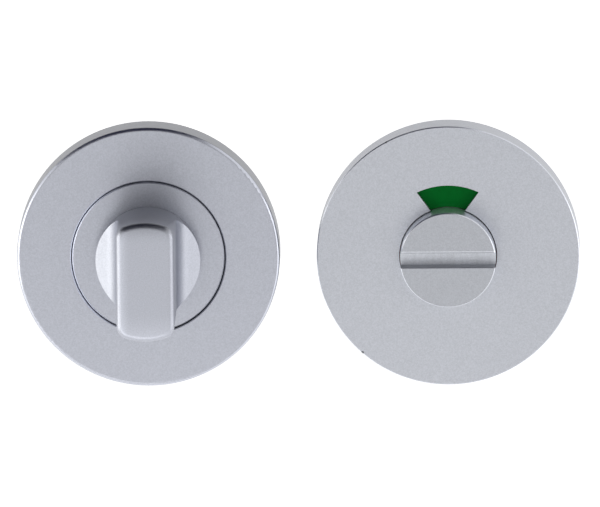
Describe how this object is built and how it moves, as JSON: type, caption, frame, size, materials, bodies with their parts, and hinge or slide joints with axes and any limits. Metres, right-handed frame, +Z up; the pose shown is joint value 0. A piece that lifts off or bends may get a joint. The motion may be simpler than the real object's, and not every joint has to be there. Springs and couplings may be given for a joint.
{
  "type": "bathroom thumb turn lock",
  "caption": "Round bathroom lock set: inside rose with a scooped thumb turn, outside rose with a coin release knob and a window that shows green or red.",
  "frame": {"origin": "on the thumb turn's axis at the door's face, the back plane of both roses", "axes": "+Z up, -Y out of the door towards the person who holds the turn, +X from the turn half to the release half"},
  "size_m": [0.1113, 0.0843, 0.052],
  "materials": {
    "satin_aluminium": "satin anodised",
    "black_nylon": "moulded",
    "white_acetal": "moulded",
    "zinc_steel": "zinc plated",
    "spring_steel": "oiled black",
    "green_label": "semi gloss",
    "red_label": "semi gloss"
  },
  "bodies": {
    "roses": {"turn_cover": "satin_aluminium", "turn_base_plate": "black_nylon", "turn_centre_disc": "satin_aluminium", "turn_bush": "white_acetal", "fixing_bolts": "zinc_steel", "release_cover": "satin_aluminium", "release_base_plate": "black_nylon", "release_bush": "white_acetal", "threaded_sleeves": "zinc_steel"},
    "turn": {"thumb_turn": "satin_aluminium", "turn_stop_washer": "zinc_steel", "turn_wave_washer": "spring_steel", "turn_circlip": "spring_steel", "spindle": "zinc_steel", "spindle_grub_screw": "spring_steel"},
    "release": {"release_knob": "satin_aluminium", "indicator_disc": "black_nylon", "indicator_green_labels": "green_label", "indicator_red_labels": "red_label", "release_stop_washer": "zinc_steel", "release_wave_washer": "spring_steel", "release_circlip": "spring_steel"}
  },
  "joints": [
    {"name": "thumb_turn_spin", "type": "hinge", "parent": "roses", "child": "turn", "pos_m": [0, 0, 0], "axis": [0, -1, 0], "range_deg": [0, 90]},
    {"name": "release_spin", "type": "hinge", "parent": "roses", "child": "release", "pos_m": [0.0593, 0, 0], "axis": [0, -1, 0], "range_deg": [-90, 0]}
  ],
  "couplings": [
    {"joint": "release_spin", "follows": "thumb_turn_spin", "ratio": -1}
  ]
}
